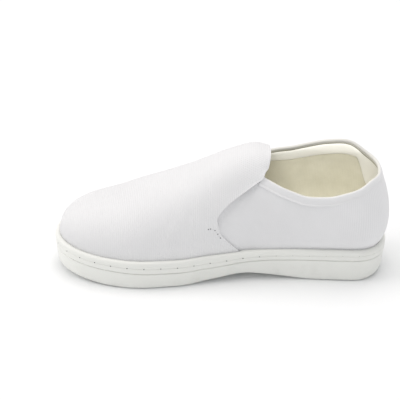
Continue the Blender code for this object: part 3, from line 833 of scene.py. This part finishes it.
# bars across the band, wavy bars in the field and the heel, and a ring round the field
def treadCutter():
    mesh = bmesh.new()
    for station in np.linspace(*soleSizes["bars"]):
        for side in (1.0, -1.0):
            addGroove(mesh, bandBar(xAt(station), side), soleSizes["barSegments"])
    for part in (soleSizes["field"], soleSizes["heel"]):
        for station in np.linspace(*part["stations"]):
            addGroove(mesh, waveBar(xAt(station), part["inset"], part["waves"]), part["segments"])
    addGroove(mesh, fieldRing, soleSizes["ringSegments"])
    made = linked("treadCutter", mesh, soleMoulding)
    thicken(made, soleSizes["grooveDepth"] + soleSizes["overrun"], False)
    return made


# needle holes of the sole stitch along the stitch line: open towards the toe, closing up towards the heel;
# their walls take a dark colour as painted shade
def dotCutter():
    turns = np.linspace(0.0, 2.0, 2 * netSizes["footCount"])
    line = rimAt(turns, np.full(len(turns), soleSizes["dotInset"]))
    run = np.concatenate(((0.0,), np.cumsum(np.linalg.norm(np.diff(line, axis=0), axis=-1))))
    low, high = soleSizes["dotSizes"]
    across, up = soleSizes["dotSegments"]
    mesh = bmesh.new()
    for at in np.arange(soleSizes["dotFrom"], run[-1], soleSizes["dotPitch"]):
        x, y = np.interp(at, run, line[:, 0]), np.interp(at, run, line[:, 1])
        z = float(follow(soleLevels, "stitch", stationAt(x)))
        radius = low + (high - low) * float(between(stationAt(x), soleSizes["dotStations"]))
        made = bmesh.ops.create_uvsphere(mesh, u_segments=across, v_segments=up, radius=radius * mm)
        bmesh.ops.translate(mesh, verts=made["verts"], vec=Vector((np.array((x, y, z)) - middle) * mm))
    return linked("dotCutter", mesh, soleHoleShade)


outsole = laidGrid(
    "outsoleMoulded", soleSizes["columns"], len(soleSizes["folds"]) + 1, solePlace, soleMoulding,
    closed=True)
tread = treadCutter()
carve(outsole, tread)
settle(outsole, cutter=tread)
dots = dotCutter()
carve(outsole, dots)
settle(outsole, angle=soleSizes["foldAngle"], cutter=dots, twins=True)
dress(outsole, "sole_white", "outsole")

# insole: a thin sock with a rounded edge, hollowed a little for the foot
insoleSizes = {
    "columns": 220, "gap": 0.75,
    "profile": (
        (0.0, 0.0), (0.5, 0.0), (0.97, 0.0), (0.995, 0.3), (1.0, 0.8), (1.0, 2.6), (0.992, 3.15),
        (0.97, 3.45), (0.93, 3.5), (0.75, 3.3), (0.5, 3.05), (0.25, 2.95), (0.0, 2.95),
    ),
}


def insolePlace(u, v):
    turn = 2.0 * u
    station = stationOf(turn)
    edge = rimAt(turn, featherInset(turn) + lastSizes["wall"] + insoleSizes["gap"])
    back, front = edge[:, 0].min(), edge[:, 0].max()
    heartX = back + (front - back) * station
    heart = np.stack((heartX, axisAt(heartX)), axis=-1)
    rows = np.array(insoleSizes["profile"])
    reach, lift = pick(rows[:, 0], v), pick(rows[:, 1], v)
    flat = heart + (edge - heart) * reach[:, None]
    height = follow(soleLevels, "floor", stationAt(flat[:, 0])) + lastSizes["gap"] + lift
    return np.concatenate((flat, height[:, None]), axis=-1), flat


insole = laidGrid(
    "insoleSock", insoleSizes["columns"], len(insoleSizes["profile"]) - 1, insolePlace, insoleCanvas,
    closed=True)
settle(insole, twins=True)
dress(insole, "insole_beige", "insole")

# upper: outer shell and canvas lining
upperSizes = {
    "columns": 360, "rows": (-0.95, -0.5, -0.1, *np.linspace(0.0, 1.0, 44)),
    "shell": 1.0, "liningFrom": -1.05, "lining": 0.7, "pressFade": 0.8,
    "presses": (
        (-52.0, 66.0, -88.0, 62.0, 11.0, -0.9),
        (-112.0, 46.0, -70.0, 40.0, 12.0, 0.5),
    ),
}


def clothOn(turn, share):
    return np.stack((runAt("footRun", turn), share * runAt("lengths", turn)), axis=-1)


def upperAt(turn, share, out):
    back = throatPart(turn) * lastSizes["tongueOverhang"] / runAt("lengths", turn)
    share = np.where(share > 0.0, share * (1.0 - back), share)
    points = wallAt(turn, share, np.full(len(turn), out))
    outward = unit(netAt(net["outward"], turn, share))
    pressed = pressedIn(points, outward, upperSizes["presses"])
    points += outward * (pressed * ease(1.0 - share * upperSizes["pressFade"]))[:, None]
    return points, clothOn(turn, share)


def upperLayer(name, out, depth, material):
    def place(u, v):
        return upperAt(2.0 * (1.0 - u), pick(upperSizes["rows"], v), out)

    made = laidGrid(name, upperSizes["columns"], len(upperSizes["rows"]) - 1, place, material)
    thicken(made, depth, False)
    settle(made)
    return made


upper = upperLayer("upperShell", 0.0, upperSizes["shell"], upperCloth)
dress(upper, "upper_white", "upper")
lining = upperLayer("liningCanvas", upperSizes["liningFrom"], upperSizes["lining"], liningCanvas)
dress(lining, "insole_beige")

# strips along the collar: folds as how far below the edge, out from the wall and over the edge
collarSizes = {
    "columns": 260, "wall": 0.3, "normalTop": 0.98,
    "flush": -0.27, "ridgeFrom": 4.5, "ridgeTurns": (0.20, 0.36),
    "heelTurn": 0.24, "heelLonger": 1.7, "patchTurns": (0.15, 0.19), "patchDeep": 26.0,
    "binding": (
        (7.0, 0.1, 0.0), (6.85, 0.4, 0.0), (6.5, 0.68, 0.0), (6.1, 0.74, 0.0), (5.7, 0.54, 0.0),
        (5.3, 0.26, 0.0), (4.8, 0.18, 0.0), (4.0, 0.3, 0.0), (3.0, 0.42, 0.0), (2.0, 0.46, 0.0),
        (1.0, 0.44, 0.0), (0.4, 0.36, 0.0), (0.0, 0.26, 0.12), (0.0, 0.08, 0.38), (0.0, -0.2, 0.5),
    ),
    "roll": (
        (0.0, 0.0, 0.36), (0.0, -0.4, 0.68), (0.0, -0.9, 0.78), (0.0, -1.4, 0.68), (0.0, -1.8, 0.42),
        (0.0, -2.0, 0.1), (0.6, -2.05, 0.0), (1.2, -2.05, 0.0), (1.7, -1.95, 0.0), (1.9, -1.78, 0.0),
    ),
    # the dark strip in the gap under the roll: painted shadow
    "shadowStrip": ((1.5, -1.78, 0.0), (2.4, -1.78, 0.0), (3.3, -1.78, 0.0), (4.4, -1.78, 0.0)),
    "facing": (
        (2.9, -1.8, 0.0), (3.2, -1.95, 0.0), (3.8, -2.12, 0.0), (4.6, -2.25, 0.0), (5.8, -2.33, 0.0),
        (7.2, -2.34, 0.0), (9.0, -2.3, 0.0), (10.8, -2.2, 0.0), (12.2, -2.08, 0.0), (13.2, -1.95, 0.0),
        (13.6, -1.8, 0.0),
    ),
}


def stripPlace(folds, ridged, patched):
    def place(u, v):
        turn = np.mod((1.0 - 2.0 * u) * lastSizes["bindingHalf"], 2.0)
        down, out, over = (pick(column, v) for column in np.array(folds).T)
        if ridged:
            ridge = between(bendOf(turn), collarSizes["ridgeTurns"])
            low = collarSizes["flush"] + (out - collarSizes["flush"]) * ridge
            out = np.where(down > collarSizes["ridgeFrom"], low, out)
        else:
            heel = 1.0 - ease(bendOf(turn) / collarSizes["heelTurn"])
            depth = (down - folds[0][0]) / (folds[-1][0] - folds[0][0])
            patch = (1.0 - between(bendOf(turn), collarSizes["patchTurns"])) * patched
            down = down * (1.0 + heel * collarSizes["heelLonger"] * (1.0 - depth * patched))
            down = down + depth * patch * collarSizes["patchDeep"]
        share = 1.0 - down / runAt("lengths", turn)
        points = wallAt(turn, share, out, collarSizes["normalTop"])
        points += netAt(net["upward"], turn, share) * over[:, None]
        run = runAt("footRun", turn) - np.where(turn > 1.0, net["footRun"][-1], 0.0)
        return points, np.stack((run, down), axis=-1)
    return place


def collarStrip(name, folds, material, ridged=False, patched=0.0):
    place = stripPlace(folds, ridged, patched)
    made = laidGrid(name, collarSizes["columns"], len(folds) - 1, place, material)
    thicken(made, collarSizes["wall"], True)
    settle(made)
    return made


binding = collarStrip("collarBinding", collarSizes["binding"], bindingStrip, ridged=True)
dress(binding, "binding_white", "collar_binding")
roll = collarStrip("collarRoll", collarSizes["roll"], rollCream)
dress(roll, "binding_white")
# painted shadow: a dark strip laid in the gap between the roll and the facing
shadowStrip = collarStrip("collarShadowStrip", collarSizes["shadowStrip"], seamShade)
dress(shadowStrip, "insole_beige")
facing = collarStrip("collarFacing", collarSizes["facing"], facingCream, patched=1.0)
dress(facing, "insole_beige")

# vamp: one piece from side to side, its flap free above the notch, tacked to the quarters below it
vampSizes = {
    "columns": 260, "rows": (-0.95, -0.4, *np.linspace(0.0, 1.0, 76)),
    "normalTop": 0.86, "softEdge": (0.45, 3, 50.0), "girth": 45.0, "girthHeight": 20.0,
    "flapLift": 0.75, "flapTurn": 0.07, "flapShares": (0.42, 0.62), "flapEnd": (0.88, 1.0),
    "tongueShares": (0.80, 1.0), "tongueLift": 0.7,
    "presses": (
        (2.0, 47.0, 17.0, 43.0, 3.2, -0.45),
        (4.0, 53.0, 16.0, 52.0, 3.0, 0.30),
        (26.0, 62.0, 37.0, 40.0, 6.5, -0.45),
        (42.0, 58.0, 53.0, 38.0, 7.0, -0.35),
        (34.0, 60.0, 45.0, 39.0, 5.0, 0.25),
    ),
    "holes": table("station share foot", (
        (0, 0.3513, 0.6195), (1, 0.3513, 0.6096), (2, 0.3088, 0.5647),
        (3, 0.2487, 0.5310), (4, 0.2125, 0.5152),
    )),
    "hole": (0.55, 0.5, 0.6), "holeSegments": (12, 6),
    "stitch": (0.36, 0.34, 0.34), "stitchSegments": (10, 6), "stitchSink": 0.22, "alongStep": 0.1,
}


def vampTurns(share):
    foot = follow(vampEdge, "foot", np.maximum(share, 0.0))
    return turnAtFoot(foot, 1.0), turnAtFoot(foot, -1.0)


def vampAt(turn, share, out):
    start, stop = vampTurns(share)
    edge = 1.0 - np.clip(np.minimum(turn - start, stop - turn) / vampSizes["flapTurn"], 0.0, 1.0)
    flap = vampSizes["flapLift"] * edge ** 2 * between(share, vampSizes["flapShares"])
    flap *= 1.0 - between(share, vampSizes["flapEnd"])
    lift = np.maximum(flap, vampSizes["tongueLift"] * between(share, vampSizes["tongueShares"]))
    points = wallAt(turn, share, lastSizes["vampGap"] + lift + out, normalTop=vampSizes["normalTop"])
    outward = unit(netAt(net["outward"], turn, np.minimum(share, vampSizes["normalTop"])))
    return points + outward * pressedIn(points, outward, vampSizes["presses"])[:, None], outward


# way along the middle of the vamp, from the tongue to the toe
ridgeLine = net["points"][netSizes["turns"] // 2][::-1]
ridgeRun = np.cumsum(np.linalg.norm(np.diff(ridgeLine, axis=0, prepend=ridgeLine[:1]), axis=-1))


def vampPlace(u, v):
    share = pick(vampSizes["rows"], v)
    start, stop = vampTurns(share)
    turn = stop + (start - stop) * u
    points, _ = vampAt(turn, share, np.zeros(len(turn)))
    across, up = points[:, 1] - axisAt(points[:, 0]), points[:, 2] - vampSizes["girthHeight"]
    girth = np.arctan2(across, up) * vampSizes["girth"]
    return points, np.stack((np.interp(points[:, 0], ridgeLine[:, 0], ridgeRun), girth), axis=-1)


def tackSpot(at, side):
    turn = turnAtFoot(follow(vampSizes["holes"], "foot", at), side)
    return vampAt(turn, follow(vampSizes["holes"], "share", at), np.full(len(at), lastSizes["vampWall"]))


# needle holes below the notch, or the stitches between them, with their way and their length
def tackPlaces(sewn):
    holes = vampSizes["holes"]["station"]
    at = (holes[1:] + holes[:-1]) / 2.0 if sewn else holes
    step = vampSizes["alongStep"]
    for side in (1.0, -1.0):
        points, outward = tackSpot(at, side)
        along = unit(tackSpot(at + step, side)[0] - tackSpot(at - step, side)[0])
        gaps = np.linalg.norm(np.diff(tackSpot(holes, side)[0], axis=0), axis=-1)
        yield from zip(points, along, outward, gaps if sewn else np.ones(len(at)))


def stitchBeads(name, places, size, sink, material, segments):
    mesh = bmesh.new()
    for point, along, outward, length in places:
        along, outward = Vector(along), Vector(outward)
        across = outward.cross(along).normalized()
        turned = Matrix((along, across, along.cross(across))).transposed().to_4x4()
        made = bmesh.ops.create_uvsphere(mesh, u_segments=segments[0], v_segments=segments[1], radius=1.0)
        bmesh.ops.scale(mesh, verts=made["verts"], vec=Vector((size[0] * length, *size[1:])) * mm)
        bmesh.ops.rotate(mesh, verts=made["verts"], cent=Vector(), matrix=turned)
        spot = Vector((np.array(point) - middle) * mm) - outward * sink * mm
        bmesh.ops.translate(mesh, verts=made["verts"], vec=spot)
    for face in mesh.faces:
        face.smooth = True
    return linked(name, mesh, material)


vamp = laidGrid("vampCover", vampSizes["columns"], len(vampSizes["rows"]) - 1, vampPlace, vampCloth)
thicken(vamp, lastSizes["vampWall"], True)
softEdges(vamp, *vampSizes["softEdge"])
settle(vamp)
# the cut walls of the needle holes take a dark colour as painted shade
needles = stitchBeads(
    "needleCutter", tackPlaces(False), vampSizes["hole"], 0.0, needleHoleShade, vampSizes["holeSegments"])
carve(vamp, needles)
settle(vamp, cutter=needles)
dress(vamp, "vamp_white", "vamp")
tacks = stitchBeads(
    "tackStitches", tackPlaces(True), vampSizes["stitch"], vampSizes["stitchSink"], sewingThread,
    vampSizes["stitchSegments"])
dress(tacks, "vamp_white")

# room: floor, camera at the photograph's angle, light from above and the toe, two weak panels for some pieces
roomSizes = {
    "floor": 6.0, "floorSegments": 6, "floorDrop": 0.0004,
    "world": 0.62, "worldTint": (0.985, 0.992, 1.0),
    "panels": {
        "topPanel": {"power": 39.0, "size": 2.4, "place": (0.0, -0.5, 2.95), "tint": (1.0, 0.955, 0.93)},
        "toePanel": {"power": 36.0, "size": 1.8, "place": (2.85, 0.15, 2.25), "tint": (1.0, 0.965, 0.945)},
    },
    "heelPanel": {"power": 5.5, "size": 1.2, "place": (-2.2, 1.3, 1.1), "tint": (1.0, 0.98, 0.98)},
    "liningPanel": {"power": 16.0, "size": 0.8, "place": (0.0, 0.9, 1.0), "tint": (1.0, 1.0, 1.0)},
}
cameraSizes = {
    "target": (0.0, 0.0, 0.040), "elevation": 32.0, "heading": -0.14, "roll": 1.34, "distance": 1.070,
    "lens": 111.8, "shift": (-0.0541, 0.0471),
}


def addFloor():
    mesh = bmesh.new()
    count = roomSizes["floorSegments"]
    bmesh.ops.create_grid(mesh, x_segments=count, y_segments=count, size=roomSizes["floor"])
    bmesh.ops.translate(mesh, verts=mesh.verts, vec=Vector((0.0, 0.0, -roomSizes["floorDrop"])))
    linked("studioFloor", mesh, floorPaper)


def addCamera():
    rise, heading, roll = (math.radians(cameraSizes[name]) for name in ("elevation", "heading", "roll"))
    level = math.cos(rise)
    ahead = Vector((-math.sin(heading) * level, -math.cos(heading) * level, -math.sin(rise)))
    right = ahead.cross(Vector((0.0, 0.0, 1.0))).normalized()
    up = right.cross(ahead)
    across = right * math.cos(roll) + up * math.sin(roll)
    upright = up * math.cos(roll) - right * math.sin(roll)
    data = bpy.data.cameras.new("photoCamera")
    data.lens = cameraSizes["lens"]
    data.shift_x, data.shift_y = cameraSizes["shift"]
    made = bpy.data.objects.new("photoCamera", data)
    turned = Matrix((across, upright, -ahead)).transposed().to_4x4()
    spot = Vector(cameraSizes["target"]) - ahead * cameraSizes["distance"]
    made.matrix_world = Matrix.Translation(spot) @ turned
    bpy.context.scene.collection.objects.link(made)
    bpy.context.scene.camera = made


def addPanel(name, panel, only=()):
    data = bpy.data.lights.new(name, "AREA")
    data.energy = panel["power"]
    data.size = panel["size"]
    data.color = panel["tint"]
    made = bpy.data.objects.new(name, data)
    made.location = panel["place"]
    made.rotation_euler = (Vector(cameraSizes["target"]) - made.location).to_track_quat("-Z", "Y").to_euler()
    bpy.context.scene.collection.objects.link(made)
    if only:  # the panel lights these pieces alone
        lit = bpy.data.collections.new(name + "Lights")
        for piece in only:
            lit.objects.link(piece)
        made.light_linking.receiver_collection = lit


def addWorld():
    world = bpy.data.worlds.new("paleRoom")
    world.use_nodes = True
    sky = world.node_tree.nodes["Background"]
    sky.inputs["Color"].default_value = (*roomSizes["worldTint"], 1.0)
    sky.inputs["Strength"].default_value = roomSizes["world"]
    bpy.context.scene.world = world
    bpy.context.scene.view_settings.view_transform = "Standard"


addFloor()
addCamera()
for panelName, panel in roomSizes["panels"].items():
    addPanel(panelName, panel)
addPanel("heelPanel", roomSizes["heelPanel"], only=(upper, vamp, binding))
addPanel("liningPanel", roomSizes["liningPanel"], only=(lining, facing, insole))
addWorld()
print("room set")
